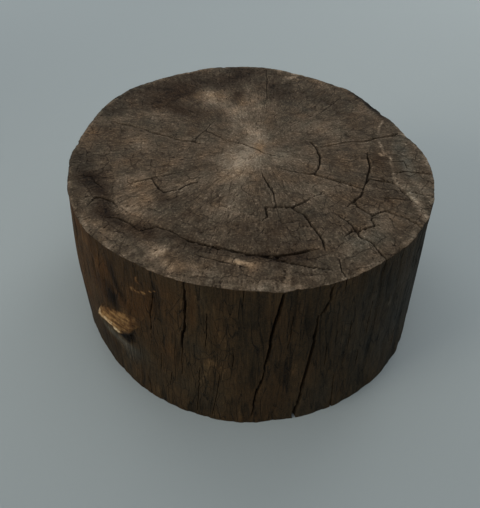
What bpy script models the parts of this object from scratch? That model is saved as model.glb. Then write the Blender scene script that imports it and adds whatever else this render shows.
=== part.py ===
"""A weathered tree stump: one block of trunk wood, sawn flat across its top and its base.

Metres, +Z up. The origin is on the ground, under the middle of the sawn top. Bearings are
degrees anticlockwise from +X, seen from above. Depths on the wall are shares of the height,
from 0 at the rim to 1 at the base.
"""

import math

import bmesh
import bpy
from mathutils import Matrix, Vector

MM = 0.001

# Driving dimensions
TOP_RADIUS = 0.220  # mean radius of the sawn top
HEIGHT = 0.224  # from the ground to the sawn top
SEGMENTS = 120  # around the trunk
WALL_ROWS = 16  # up the wall

# Radius of the trunk every 20 degrees of bearing, from 0 to 340, in millimetres
RIM_RADII = (222, 210, 216, 213, 221, 225, 224, 229, 220, 217, 218, 217, 213, 214, 220, 225, 228, 229)
BASE_RADII = (236, 232, 230, 229, 228, 229, 228, 230, 228, 227, 227, 226, 231, 236, 238, 240, 241, 239)

# A low swelling of the trunk half way down its left side
BELLY_BEARING = 198
BELLY_RISE = 4.5 * MM
BELLY_HALF_ANGLE = 28

# The stub of a broken branch: a low ridge on the wall that climbs to the right, with a rotted
# hollow under its thick end
STUB_BEARING = 226.5
STUB_DEPTH = 0.53
STUB_CLIMB = 25  # degrees
STUB_RISE = 12 * MM
STUB_HALF_LENGTH = 44 * MM
STUB_HALF_WIDTH = 22 * MM
HOLLOW_BEARING = 229
HOLLOW_DEPTH = 0.645
HOLLOW_RADIUS = 9 * MM

# Drying checks
CHECK_DEPTH = 8 * MM  # root of a full check below the surface
CHECK_CLEAR = 0.5  # how far a check's cutter stands out of the wood, as a share of its depth
CHECK_END = 0.35  # size of a check where it dies out, as a share of its full size

# Checks in the sawn top: width, then points as (bearing, share of the mean radius). A last
# share over 1.05 runs out through the wall.
TOP_CHECKS = {
    "front_check": (3.0 * MM, ((297, 0.24), (291, 0.43), (301, 0.56), (300, 0.69), (297, 0.77))),
    "right_front_check": (3.5 * MM, ((334, 0.27), (338, 0.43), (337, 0.68))),
    "block_left_check": (3.0 * MM, ((343, 0.41), (358, 0.41), (14, 0.41), (24, 0.40))),
    "block_right_check": (3.0 * MM, ((4, 0.685), (343, 0.68), (330, 0.68), (321, 0.66))),
    "flake_check": (3.0 * MM, ((344, 0.72), (343, 0.85), (337, 0.94), (335, 1.12))),
    "rim_check": (3.0 * MM, ((324, 0.71), (323, 0.80), (328, 0.86), (327, 1.12))),
    "ring_shake": (
        4.5 * MM,
        ((191, 0.845), (205, 0.79), (225, 0.80), (236, 0.70), (256, 0.72), (276, 0.76), (294, 0.79)),
    ),
    "long_left_check": (3.0 * MM, ((156, 0.92), (155, 0.68), (156, 0.43), (153, 0.29))),
    "right_check": (3.0 * MM, ((13, 0.46), (14, 0.70), (15, 0.93))),
    "back_check": (2.5 * MM, ((81, 0.98), (79, 0.61))),
}

# Checks in the wall: width, then points as (bearing, depth share). They open at the rim.
WALL_CHECKS = {
    "left_wall_check": (4.0 * MM, ((252.3, -0.05), (252.2, 0.20), (250.7, 0.50))),
    "middle_wall_check": (4.5 * MM, ((279.7, -0.05), (277.0, 0.30), (274.3, 0.65), (271.5, 0.92))),
    "right_wall_check": (4.5 * MM, ((292.9, -0.05), (289.3, 0.30), (287.0, 0.65), (283.9, 1.05))),
}


def clear_scene():
    for obj in list(bpy.data.objects):
        bpy.data.objects.remove(obj, do_unlink=True)


def new_collection(name):
    collection = bpy.data.collections.new(name)
    bpy.context.scene.collection.children.link(collection)
    return collection


def object_from_bmesh(name, mesh_data, collection):
    mesh = bpy.data.meshes.new(name)
    mesh_data.to_mesh(mesh)
    mesh_data.free()
    obj = bpy.data.objects.new(name, mesh)
    collection.objects.link(obj)
    return obj


def around(radii, bearing):
    """A smooth closed curve (Catmull-Rom) through radii given at even steps, read at a bearing."""
    place = (bearing % 360) * len(radii) / 360
    whole = math.floor(place)
    t = place - whole
    before, start, end, after = (radii[(whole + step) % len(radii)] for step in (-1, 0, 1, 2))
    bend = 2 * before - 5 * start + 4 * end - after
    twist = 3 * (start - end) + after - before
    return (start + 0.5 * t * (end - before + t * (bend + t * twist))) * MM


def turned_from(bearing, middle):
    """The shortest turn from one bearing to another, in degrees."""
    return (bearing - middle + 180) % 360 - 180


def stub_rise(bearing, depth):
    """How far the stub stands out: a bell curve in its own axes, along its length and across it."""
    sideways = math.radians(turned_from(bearing, STUB_BEARING)) * TOP_RADIUS
    upwards = (STUB_DEPTH - depth) * HEIGHT
    climb = math.radians(STUB_CLIMB)
    along = (sideways * math.cos(climb) + upwards * math.sin(climb)) / STUB_HALF_LENGTH
    across = (upwards * math.cos(climb) - sideways * math.sin(climb)) / STUB_HALF_WIDTH
    return STUB_RISE * math.exp(-2 * (along**2 + across**2))


def wall_radius(bearing, depth):
    """From the rim's outline to the wider base's, with the belly's swelling and the stub's."""
    flare = 0.55 * depth + 0.45 * depth**2
    radius = around(RIM_RADII, bearing) * (1 - flare) + around(BASE_RADII, bearing) * flare
    off_belly = turned_from(bearing, BELLY_BEARING) / BELLY_HALF_ANGLE
    radius += BELLY_RISE * math.sin(math.pi * depth) * math.exp(-(off_belly**2))
    return radius + stub_rise(bearing, depth)


def on_wall(bearing, depth):
    """A point of the wall. Past the rim or the base it keeps their outline."""
    angle = math.radians(bearing)
    radius = wall_radius(bearing, min(max(depth, 0), 1))
    return Vector((radius * math.cos(angle), radius * math.sin(angle), HEIGHT * (1 - depth)))


def on_top(bearing, share):
    angle = math.radians(bearing)
    return Vector((share * TOP_RADIUS * math.cos(angle), share * TOP_RADIUS * math.sin(angle), HEIGHT))


def wood():
    material = bpy.data.materials.new("weathered_wood")
    material.use_nodes = True
    shader = material.node_tree.nodes["Principled BSDF"]
    shader.inputs["Base Color"].default_value = (0.095, 0.070, 0.048, 1)
    shader.inputs["Roughness"].default_value = 0.85
    shader.inputs["Metallic"].default_value = 0.0
    return material


def trunk(collection):
    """A cylinder whose wall is cut into rows and drawn out to the trunk's outline, row by row."""
    shape = bmesh.new()
    bmesh.ops.create_cone(
        shape,
        cap_ends=True,
        segments=SEGMENTS,
        radius1=TOP_RADIUS,
        radius2=TOP_RADIUS,
        depth=HEIGHT,
        matrix=Matrix.Translation((0, 0, HEIGHT / 2)),
    )
    upright = [edge for edge in shape.edges if abs(edge.verts[0].co.z - edge.verts[1].co.z) > HEIGHT / 2]
    bmesh.ops.subdivide_edges(shape, edges=upright, cuts=WALL_ROWS - 1, use_grid_fill=True)
    for vertex in shape.verts:
        bearing = math.degrees(math.atan2(vertex.co.y, vertex.co.x))
        depth = 1 - vertex.co.z / HEIGHT
        vertex.co = on_wall(bearing, depth)
    return object_from_bmesh("tree_stump", shape, collection)


def wedge(name, rings, collection):
    """A closed cutter through rings of three corners: the root of the check and its two lips."""
    shape = bmesh.new()
    loops = []
    for ring in rings:
        corners = [shape.verts.new(corner) for corner in ring]
        loops.append([shape.edges.new((corners[i - 1], corners[i])) for i in range(len(corners))])
    for near, far in zip(loops, loops[1:]):
        bmesh.ops.bridge_loops(shape, edges=near + far)
    for end in (loops[0], loops[-1]):
        bmesh.ops.edgeloop_fill(shape, edges=end)
    bmesh.ops.recalc_face_normals(shape, faces=shape.faces)
    return object_from_bmesh(name, shape, collection)


def check_rings(points, outward, width, sizes):
    """At each point, a V section square to the check's run: its root in the wood, its lips clear of it."""
    rings = []
    for i, (point, out, size) in enumerate(zip(points, outward, sizes)):
        run = points[min(i + 1, len(points) - 1)] - points[max(i - 1, 0)]
        side = run.cross(out).normalized() * width * size / 2 * (1 + CHECK_CLEAR)
        lip = point + out * CHECK_DEPTH * size * CHECK_CLEAR
        rings.append((point - out * CHECK_DEPTH * size, lip - side, lip + side))
    return rings


def top_check(name, width, places, collection):
    points = [on_top(bearing, share) for bearing, share in places]
    runs_out = places[-1][1] > 1.05
    sizes = [CHECK_END] + [1] * (len(points) - 2) + [1 if runs_out else CHECK_END]
    return wedge(name, check_rings(points, [Vector((0, 0, 1))] * len(points), width, sizes), collection)


def wall_check(name, width, places, collection):
    points = [on_wall(bearing, depth) for bearing, depth in places]
    outward = [Vector((point.x, point.y, 0)).normalized() for point in points]
    sizes = [1] * (len(points) - 1) + [1 if places[-1][1] > 1 else CHECK_END]
    return wedge(name, check_rings(points, outward, width, sizes), collection)


def stub_hollow(collection):
    """The rotted hollow under the branch stub, a ball set half into the wall."""
    shape = bmesh.new()
    place = Matrix.Translation(on_wall(HOLLOW_BEARING, HOLLOW_DEPTH))
    bmesh.ops.create_icosphere(shape, subdivisions=2, radius=HOLLOW_RADIUS, matrix=place)
    return object_from_bmesh("stub_hollow", shape, collection)


def cut(obj, cutter):
    cutter.hide_render = True
    cutter.display_type = "WIRE"
    modifier = obj.modifiers.new(cutter.name, "BOOLEAN")
    modifier.operation = "DIFFERENCE"
    modifier.solver = "EXACT"
    modifier.object = cutter


def main():
    clear_scene()
    parts = new_collection("tree_stump")
    cutters = new_collection("cutters")
    stump = trunk(parts)
    stump.data.materials.append(wood())
    stump.data.shade_smooth()
    stump.data.set_sharp_from_angle(angle=math.radians(35))
    for name, (width, places) in TOP_CHECKS.items():
        cut(stump, top_check(name, width, places, cutters))
    for name, (width, places) in WALL_CHECKS.items():
        cut(stump, wall_check(name, width, places, cutters))
    cut(stump, stub_hollow(cutters))


main()
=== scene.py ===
"""A weathered tree stump and the studio that it stands in, laid out as a Blender add-on.

Metres, +Z up. The origin is on the ground, under the middle of the sawn top. Bearings are degrees
anticlockwise from +X, seen from above. A depth on the wall is a share of the height, from 0 at the
rim to 1 at the ground.
"""

import math
from functools import partial

import bpy
import numpy as np
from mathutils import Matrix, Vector


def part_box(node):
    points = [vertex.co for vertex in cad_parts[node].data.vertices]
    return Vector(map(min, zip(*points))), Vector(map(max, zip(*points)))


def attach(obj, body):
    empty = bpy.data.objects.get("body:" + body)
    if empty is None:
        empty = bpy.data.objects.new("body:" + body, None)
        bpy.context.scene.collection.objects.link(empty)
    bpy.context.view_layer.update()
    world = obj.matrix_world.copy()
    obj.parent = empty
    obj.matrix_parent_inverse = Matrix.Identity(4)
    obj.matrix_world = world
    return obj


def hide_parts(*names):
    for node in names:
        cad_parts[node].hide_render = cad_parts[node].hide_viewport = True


bl_info = {
    "name": "Weathered tree stump",
    "version": (1, 0, 0),
    "blender": (4, 5, 0),
    "location": "3D View > Sidebar > Stump",
    "description": "Builds a sawn, weathered tree stump and a plain studio around it",
    "category": "Object",
}

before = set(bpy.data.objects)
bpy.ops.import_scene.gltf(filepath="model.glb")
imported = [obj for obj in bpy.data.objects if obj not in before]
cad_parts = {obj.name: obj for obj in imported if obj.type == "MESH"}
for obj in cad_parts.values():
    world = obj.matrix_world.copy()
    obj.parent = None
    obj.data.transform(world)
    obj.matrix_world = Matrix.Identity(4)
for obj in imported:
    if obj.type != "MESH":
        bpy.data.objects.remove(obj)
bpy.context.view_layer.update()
LOW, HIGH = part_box("tree_stump")

MM = 0.001
HEIGHT = HIGH.z - LOW.z
TOP_RADIUS = 0.220  # mean radius of the sawn top
WALL_RADIUS = 0.228  # mean radius of the wall, for lengths around it
PITH = (16.5 * MM, 17.5 * MM)  # where the growth rings are centred, off the middle of the top

# Radius of the trunk every 20 degrees of bearing, from 0 to 340, in millimetres
RIM_RADII = (222, 210, 216, 213, 221, 225, 224, 229, 220, 217, 218, 217, 213, 214, 220, 225, 228, 229)
BASE_RADII = (236, 232, 230, 229, 228, 229, 228, 230, 228, 227, 227, 226, 231, 236, 238, 240, 241, 239)
BELLY_BEARING = 198  # the trunk swells a little, half way down its left side
BELLY_HALF_ANGLE = 28
BELLY_RISE = 4.5 * MM

# The front of the trunk has grown with a slight twist, which its long checks follow
TWIST_BEARING = 286
TWIST_HALF_ANGLE = 70  # degrees to either side, where it has died out
TWIST = 8.7  # degrees to the left, from the rim to the ground

# Rows of the wall's faces are this power of an even step down it, so they crowd towards the rim
ROW_CROWDING = 1.12
UNDERSIDE_RINGS = (0.93, 0.7, 0.4, 0.15)  # shares of the base's radius

# A stretch of the rim that has rotted and broken off, as a slope down to the wall
BREAK_BEARING = 34
BREAK_HALF_ANGLE = 9
BREAK_DROP = 5 * MM

CHECK_END = 0.35  # width of a check where it dies out, as a share of its full width
CLOSEST = 0.22  # how close to a check's middle line the mesh is drawn, as a share of the plain distance
RIM_NOTCH = 0.6 * MM  # how far the rim dips where a wall check starts in it
# The noise that makes the checks waver is the same where they open and where the mesh is drawn to them
WALL_CHECK_SEED = 61
TOP_CHECK_SEED = 62

# Open checks in the sawn top. Each has its width and depth in millimetres, and its points as
# (bearing, share of TOP_RADIUS). A share over 1.05 runs out through the wall.
TOP_CHECKS = (
    # from the pith to the left
    (1.2, 2.6, ((2, 0.21), (6, 0.165), (20, 0.12), (47, 0.1), (97, 0.13), (117, 0.17), (124, 0.2))),
    (1.2, 2.6, ((124, 0.2), (129, 0.25), (130, 0.29), (132, 0.354), (138, 0.354), (147, 0.346), (153, 0.33))),
    (1.2, 2.5, ((132, 0.354), (123, 0.39), (117, 0.41))),
    (1.6, 4.5, ((153, 0.29), (153, 0.33), (156, 0.425), (156, 0.53), (156, 0.605), (155, 0.68))),
    (1.7, 4.5, ((155, 0.68), (155.5, 0.755), (156, 0.83), (156, 0.92))),
    # the front block's three sides
    (1.4, 3.9, ((304, 0.145), (297, 0.24), (295, 0.33), (291, 0.43))),
    (1.6, 4.5, ((278, 0.53), (282, 0.5), (283, 0.43), (290, 0.44), (301, 0.48), (308, 0.48), (315, 0.48))),
    (1.2, 3.2, ((315, 0.48), (321, 0.5), (325, 0.49))),
    (1.6, 4.5, ((298, 0.47), (302, 0.57), (300, 0.64), (300, 0.69), (299, 0.765), (297, 0.82))),
    (1.2, 3.2, ((299, 0.9), (297, 0.97), (296.5, 1.12))),
    # the right block
    (1.2, 2.6, ((333, 0.18), (334, 0.27), (336, 0.34))),
    (1.9, 5.9, ((336, 0.34), (338, 0.4), (338, 0.46), (337, 0.53), (337, 0.6), (336, 0.68))),
    (
        1.6, 5.2,
        ((338, 0.4), (344, 0.4), (352, 0.41), (358, 0.41), (5, 0.415), (10, 0.41), (14, 0.41), (23, 0.4)),
    ),
    (1.7, 5.2, ((4, 0.685), (359, 0.687), (354, 0.687), (347, 0.68), (343, 0.68), (336, 0.68))),
    (1.7, 5.2, ((336, 0.68), (330, 0.68), (325, 0.665), (321, 0.66))),
    (1.6, 4.5, ((14, 0.42), (14, 0.49), (14, 0.57), (14, 0.63))),
    (2.0, 5.9, ((14, 0.63), (13, 0.71), (14, 0.78), (14, 0.82), (14, 0.885), (15, 0.93))),
    (1.6, 5.2, ((344, 0.68), (344, 0.75), (344, 0.82), (343, 0.85), (340, 0.88), (338, 0.925), (335, 0.98))),
    (1.2, 3.2, ((357, 0.8), (358, 0.885), (354, 0.894))),
    (1.6, 4.5, ((350, 0.8), (352, 0.89), (352, 0.95), (350.5, 1.12))),
    (1.2, 3.2, ((334, 0.77), (336, 0.86), (337, 0.93))),
    (1.2, 3.2, ((341, 0.9), (341, 1.12))),
    # the front right rim
    (1.7, 5.2, ((326, 0.67), (324, 0.71), (323, 0.8), (328, 0.835), (328, 0.88), (328, 0.95), (326, 1.12))),
    (1.6, 4.5, ((323, 0.8), (321, 0.81), (319, 0.85), (315, 0.82), (311, 0.79), (307, 0.79))),
    (1.6, 4.5, ((314, 0.67), (314, 0.74), (313, 0.79), (311, 0.84), (312, 0.9), (311, 0.955), (309, 1.12))),
    (1.2, 2.6, ((315, 0.87), (315, 0.945))),
    # the ring shake, open between two years' growth
    (1.5, 2.6, ((190, 0.93), (191, 0.86), (195, 0.84), (200, 0.8))),
    (1.6, 3.2, ((206.5, 0.92), (203, 0.86), (203.7, 0.83), (208, 0.79), (211.6, 0.78))),
    (1.6, 3.2, ((213.7, 0.87), (217.7, 0.82), (222, 0.8), (227.7, 0.8))),
    (1.5, 3.2, ((227.7, 0.8), (228.6, 0.77), (231.4, 0.72), (236.4, 0.7), (243, 0.715))),
    (1.7, 4.5, ((243, 0.715), (248, 0.72), (256, 0.72), (262, 0.73), (270, 0.747), (276, 0.762))),
    (2.0, 5.2, ((276, 0.762), (281, 0.776), (287, 0.78), (292, 0.784), (296, 0.795))),
    (1.2, 2.6, ((251.3, 0.8), (255.5, 0.8), (259, 0.81), (264, 0.82), (270, 0.84))),
    (1.6, 3.9, ((275, 0.77), (283, 0.82), (287, 0.865), (291, 0.9), (295, 0.94))),
    (1.2, 3.2, ((246, 0.71), (247, 0.78))),
    (1.2, 2.6, ((259, 0.72), (259, 0.77))),
    (1.2, 3.2, ((246, 0.88), (246, 0.95))),
    (1.2, 3.2, ((252, 0.93), (252.3, 1.12))),
    # the left block
    (1.5, 2.9, ((200.3, 0.69), (199.6, 0.62), (198.8, 0.54), (199.4, 0.45), (200.2, 0.38))),
    (
        1.5, 2.9,
        ((199, 0.54), (204.5, 0.54), (210.4, 0.54), (214.5, 0.53), (217.5, 0.45), (217.2, 0.37),
         (219.8, 0.33)),
    ),
    (1.2, 2.5, ((256.4, 0.59), (254.5, 0.68))),
    # the back
    (1.2, 3.2, ((81.5, 0.98), (80, 0.79), (77, 0.61))),
    (1.2, 3.2, ((60, 0.925), (59, 0.865))),
    (1.2, 2.6, ((59, 0.7), (58.5, 0.61))),
    (1.2, 2.5, ((52.8, 0.96), (48.7, 0.85))),
    (1.2, 2.6, ((46, 0.87), (45.1, 0.72), (44.6, 0.67), (44.5, 0.6))),
    (1.2, 2.6, ((36, 0.61), (34.5, 0.58))),
    (1.2, 2.6, ((58.8, 0.42), (58.4, 0.38))),
    (1.2, 2.5, ((56, 0.43), (49.3, 0.45), (47.8, 0.49))),
    (1.2, 3.2, ((96, 0.97), (96.5, 0.87))),
)

# The edge of a thin flake, a pale line that stands up a little: its half width in millimetres, and
# its points as (bearing, share of TOP_RADIUS)
FLAKE_HALF_WIDTH = 1.5
FLAKE_EDGE = (
    (24, 0.90), (18, 0.82), (11, 0.785), (3.8, 0.78), (0.2, 0.81), (353, 0.81), (349, 0.815), (343, 0.845),
    (340, 0.89), (336.5, 0.96),
)

# Open checks in the wall: width and depth in millimetres, then points as (bearing, depth share).
# A share over 1 runs out at the ground.
WALL_CHECKS = (
    (1.7, 9, ((252.4, 0.01), (252.5, 0.1), (252, 0.3), (251, 0.4), (250.7, 0.5))),
    (1.2, 5, ((250.7, 0.5), (250.3, 0.68))),
    (2.1, 10, ((279.8, 0.01), (279.3, 0.05), (278.3, 0.15), (277, 0.3), (276, 0.45), (275, 0.58))),
    (1.6, 9, ((275, 0.58), (274, 0.68), (272.5, 0.78), (271.5, 0.93))),
    (1.5, 8, ((293.2, 0.01), (292.7, 0.04), (291.5, 0.18), (289.5, 0.22))),
    (2.1, 10, ((289.5, 0.22), (289, 0.4), (288, 0.52), (287, 0.65), (286, 0.78), (284.5, 0.93), (284, 1.1))),
    (1.3, 5, ((268.9, 0.01), (268.8, 0.1))),
    (1.2, 6, ((258.6, 0.2), (258, 0.45))),
    (1.2, 6, ((256.2, 0.6), (255, 0.95))),
    (1.1, 6, ((262.2, 0.63), (260, 0.95))),
    (1.3, 5, ((282.6, 0.2), (281.5, 0.4))),
    (1.3, 5, ((266.2, 0.46), (266, 0.56))),
    (1.1, 6, ((241.8, 0.17), (240.5, 0.32), (240, 0.5))),
    (1.1, 5, ((243.4, 0.6), (243, 0.72))),
    (1.2, 4, ((247.2, 0.7), (246, 0.82))),
    (1.1, 6, ((237.6, 0.84), (239.5, 1.1))),
    (1.2, 4, ((296, 0.36), (295.6, 0.46))),
    (1.3, 5, ((300.5, 0.33), (300, 0.52))),
    (1.3, 5, ((307, 0.25), (306.4, 0.5))),
    (1.3, 5, ((304.2, 0.6), (304, 0.72))),
    (1.3, 5, ((293.2, 0.44), (292.6, 0.6))),
    (1.1, 6, ((296.2, 0.7), (296, 1.1))),
    (1.1, 6, ((310, 0.01), (309.5, 0.14))),
    (1.2, 6, ((326.3, 0.01), (326, 0.22))),
    (1.3, 5, ((341, 0.01), (340.5, 0.12))),
    (1.2, 6, ((350.5, 0.01), (350, 0.2))),
    (1.3, 5, ((296.5, 0.01), (296.4, 0.08))),
    (1.1, 5, ((322.4, 0.6), (321, 0.82))),
    (1.6, 8, ((12, 0.2), (14, 0.5), (13.4, 0.9))),
    (1.5, 8, ((46, 0.01), (45, 0.25), (43.6, 0.6))),
    (1.9, 9, ((81.8, 0.01), (82.6, 0.2), (81.4, 0.55), (82.2, 0.8))),
    (1.2, 6, ((101, 0.3), (102.4, 0.8))),
    (1.4, 8, ((118, 0.1), (116.8, 0.5), (118.4, 1.1))),
    (1.1, 5, ((134, 0.25), (133.4, 0.6))),
    (1.7, 9, ((156.4, 0.01), (157.4, 0.3), (156.2, 0.66))),
    (1.2, 6, ((176, 0.35), (174.8, 0.85))),
    (1.2, 6, ((196, 0.1), (197, 0.45))),
    (1.3, 5, ((205.8, 0.5), (205, 0.9))),
    (1.2, 7, ((62, 0.4), (60.8, 1.1))),
    (1.2, 6, ((29, 0.05), (30.2, 0.4))),
)

# Shades of the sawn top, each a soft patch: its place from the middle (x, y) and its half length
# and half width in millimetres, its turn in degrees, how pale it is and how warm. One at the right
# rim is painted shade, noted above its row.
TOP_SHADES = (
    # the pale star round the pith
    (13, 20, 34, 26, 0, 0.4, 0), (18, 20, 9, 9, 0, 0.1, 1.0), (14, 50, 20, 9, 105, 0.4, 0.1),
    (0, 68, 36, 12, 114, 0.5, 0), (3, 118, 22, 18, 90, 0.5, 0), (-30, 115, 26, 13, 140, 0.35, 0),
    (-48, 140, 17, 17, 0, 0.75, 0.1), (-7, -7, 26, 20, 60, 0.65, 0), (-22, -28, 22, 15, 50, 0.35, 0.1),
    (39, 3, 30, 13, -10, 0.25, -0.2), (7, 158, 20, 6, 90, 0.35, 0), (95, 62, 20, 14, 0, 0.4, 0),
    (-20, -82, 42, 12, 66, 0.4, 0), (-16, -99, 12, 10, 0, 0.35, 0.1), (82, -59, 24, 20, 0, 0.22, 0),
    # the paler left side
    (-117, 94, 24, 13, 0, 0.42, 0.1), (-138, 39, 20, 12, 0, 0.38, 0.2), (-175, 84, 22, 6, -10, 0.5, 0),
    (-197, 49, 8, 25, 0, 0.3, 0.3), (-128, -80, 20, 30, 0, 0.55, 0.2),
    (-125, -102, 18, 9, -30, 0.4, 0.1), (-138, -36, 22, 16, 0, 0.25, 0.1),
    (-76, -53, 26, 15, 10, 0.2, 0),
    # the front rim
    (-92, -161, 9, 9, 0, 1.1, 0.2), (-80, -181, 22, 8, -20, 0.5, 0.3),
    (-161, -131, 26, 7, -42, 0.45, 0.3), (-7, -181, 12, 4, -20, 1.3, 0.8),
    (-49, -194, 52, 7, -15, 0.35, 0.1), (33, -210, 32, 6, 0, 0.45, -0.2),
    (44, -197, 14, 3, 90, 0.5, 0.1), (122, -148, 32, 13, 35, 0.35, -0.3),
    (161, -112, 18, 13, 0, 0.3, 0),
    # the right rim
    (192, -79, 28, 4, -71, 0.8, 0), (205, -59, 22, 8, -72, 0.35, -0.1),
    (197, -16, 10, 20, 0, 0.1, -0.2), (169, 105, 22, 15, 0, 0.35, 0.1), (186, 90, 8, 18, -20, 0.3, 0.2),
    # (174, 118): dark and cool, painted shade on the broken rim's slope, partly the wall's dark wood
    (168, 3, 3, 2.5, 0, 1.8, 0.1), (174, 118, 34, 5, -62, -2.0, -1.2),
    (200, -22, 14, 46, 0, 0.25, -0.4), (198, 34, 12, 30, 0, 0.15, -0.4),
    # the back rim
    (67, 192, 7, 4, 0, 1.1, 0), (70, 203, 5, 3, 0, 0.9, 0), (112, 169, 16, 6, -40, 0.45, 0.1),
    # stains at the back
    (-82, 151, 24, 17, 0, -0.59, 0.6), (-115, 135, 32, 20, 0, -0.45, 0.3),
    (-92, 108, 26, 13, 0, -0.56, 0.5), (-102, 167, 26, 11, 30, -0.3, 0),
    (-49, 181, 32, 18, 0, -0.26, -0.2), (-3, 208, 17, 15, 0, -0.59, -0.2),
    (-13, 184, 36, 17, 0, -0.45, -0.1), (-10, 141, 8, 11, 0, -0.64, 0.6),
    (46, 161, 16, 24, 0, -0.38, 0), (59, 144, 26, 18, 0, -0.26, 0), (102, 141, 22, 16, 0, -0.22, -0.1),
    (128, 115, 24, 9, 42, -0.38, -0.1), (-187, 102, 15, 18, 0, -0.38, -0.6),
    (-164, 148, 26, 10, 42, -0.3, -0.6), (-66, 85, 13, 22, 0, -0.3, 0.3), (85, 36, 15, 10, 0, -0.19, 0),
    (141, 69, 22, 14, 0, -0.11, 0), (-33, 89, 9, 20, 0, -0.22, 0.1),
    # stains at the left rim and along the ring shake
    (-203, -10, 13, 26, 0, -0.38, -0.3), (-187, -33, 15, 8, 10, -0.64, 0),
    (-176, -47, 10, 20, 30, -0.64, 0.1), (-167, -69, 10, 18, 20, -0.52, 0.2),
    (-158, -102, 10, 22, 38, -0.68, 0.1), (-135, -119, 24, 7, -30, -0.68, 0.1),
    (-115, -131, 15, 9, 0, -0.45, 0.1), (-62, -144, 26, 6, -25, -0.52, 0),
    (-16, -161, 42, 5, -10, -0.49, 0), (39, -169, 36, 7, -4, -0.62, -0.1),
    (59, -161, 20, 6, 15, -0.45, 0), (-98, -69, 6, 14, 0, -0.45, 0.2), (-76, -76, 26, 6, 20, -0.3, 0),
    (-49, -99, 22, 12, 0, -0.19, 0), (-20, -121, 26, 10, 0, -0.19, -0.1),
    # the blocks on the right
    (49, -115, 22, 22, 0, -0.26, 0), (161, -16, 12, 20, 0, -0.38, 0.5),
    (145, -85, 20, 16, 0, -0.15, 0.1), (115, -13, 26, 34, 0, -0.09, 0.1),
    (-62, -16, 20, 10, 0, -0.11, 0), (15, -140, 30, 14, 0, -0.15, 0.1),
)

# Shades of the wall: bearing, depth share, half width and half height in millimetres, turn in
# degrees, how pale it is and how warm. Some are painted light or shade, noted above their rows.
WALL_SHADES = (
    # (214, 0.25): pale and warm, partly the wood's own colour and partly painted warm light on the left
    (214, 0.25, 80, 90, 0, 0.38, 0.7), (188, 0.6, 90, 70, 0, 0.1, 0.4),
    (224, 0.17, 16, 14, -40, 0.1, 0.9), (221, 0.33, 18, 10, 0, 0, 0.9),
    (228.5, 0.22, 6, 28, -20, -1.6, 0.3), (224.5, 0.35, 12, 16, -10, -2.0, 0.9),
    # (222.5, 0.69): pale and cool, a painted cool sky reflection on the facet under the stub's lip
    (222.5, 0.69, 32, 8, 10, 1.2, -1.9), (229, 0.78, 22, 14, -20, 0.2, -1.3),
    # (228.6, 0.62): dark, a painted shadow under the stub's hollow
    (228.6, 0.62, 13, 6, 0, -2.6, 0.3), (238, 0.27, 28, 20, 20, 0.35, 0.9),
    (254.6, 0.2, 5, 26, 0, 0.5, 1.0), (246, 0.13, 16, 26, 0, 0.1, 0.5),
    (231, 0.33, 22, 12, 30, 0.3, 0.7), (259.4, 0.555, 7, 8, 0, 0.8, 0.4),
    (263, 0.58, 10, 6, 0, 0.35, 0.1), (254, 0.42, 9, 18, 0, -0.15, -0.5),
    (270, 0.35, 22, 40, 0, -0.3, -0.2), (279, 0.6, 20, 70, 0, 0.3, 0.2),
    (262, 0.35, 14, 40, 0, 0.15, 0.3), (246, 0.5, 16, 30, 0, 0.2, 0.4),
    (242, 0.8, 40, 26, 0, -0.1, -0.2), (233, 0.68, 18, 18, 0, 0.05, -0.6),
    (220, 0.8, 26, 20, 0, -0.5, 0.5), (268, 0.96, 30, 8, 0, 0.3, 0.5),
    # (312, 0.45) and (340, 0.4): cool, a painted cool sky reflection along the right side
    (312, 0.45, 80, 90, 0, -0.1, -0.7), (340, 0.4, 80, 100, 0, 0, -1.3),
    (10, 0.5, 80, 90, 0, 0.1, -0.6), (60, 0.5, 120, 80, 0, 0, 0.1), (110, 0.4, 100, 80, 0, 0.05, 0.3),
    (150, 0.6, 90, 70, 0, 0.1, 0), (204, 0.05, 30, 8, 0, 0.3, 0.8), (208, 0.55, 20, 14, -50, 0.3, 0.5),
    (325, 0.28, 6, 5, 0, 0.8, -0.2), (315, 0.36, 3, 4, 0, 0.9, -0.2), (326, 0.36, 4, 3, 0, 0.8, -0.2),
    (284, 0.6, 4, 8, 0, 0.5, 0.2),
)

# Chips torn out of the wall, with raw wood showing: bearing, depth share, half length and half
# width in millimetres, and turn in degrees
WALL_CHIPS = (
    (234.7, 0.2, 4, 2.4, 0), (238.4, 0.19, 6, 2.2, -25), (241.8, 0.15, 4, 1.6, -30),
    (237.4, 0.14, 5, 1.4, 40), (236.6, 0.09, 6, 1.2, 100), (230.5, 0.24, 6, 1, 0),
)
CHIP_RAWNESS = 1.2  # at a chip's middle

# The stub of a broken branch. Its edges are in the plane of the wall, in millimetres from its
# middle: along the wall, and upwards. The lip stands out and catches the light, and a painted
# highlight runs along it. The crest meets the wall, and a rotted hollow lies under the lip's thick
# end, dark with painted shadow.
STUB_BEARING = 227.2
STUB_DEPTH = 0.518
STUB_LIP = ((-41, -9), (-27, -5), (-5, -7), (15, -15), (20, -6), (28, 5), (41, 15))
STUB_CREST = ((-41, -8), (-36, 0), (-24, 9), (-3, 17), (14, 24), (38, 25), (42, 16))
STUB_RISE = 9  # millimetres
STUB_HOLLOW = (16, -17)
HOLLOW_RADIUS = 9
HOLLOW_DEPTH = 7

# The flat map that the finished colours can be baked onto: the wall in two strips, and the sawn top
# and the base each with its middle on the map and how much of the map a metre covers
MAP_GAP = 0.01
STRIP_HEIGHT = 0.17
TOP_MAP = ((0.31, 0.69), (1.27, 1.27))
BASE_MAP = ((0.81, 0.81), (-0.73, 0.73))

# The stage
FLOOR_GREY = "acb8bc"
FLOOR_SIDE = 12
SKY_COLOUR = (0.94, 0.97, 1.0, 1)
CAMERA_PLACE = (-0.0077, -0.6125)  # x and y
CAMERA_DIP = 45.96  # degrees below level
CAMERA_ANGLE = 45  # degrees of view along the longer side

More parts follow.
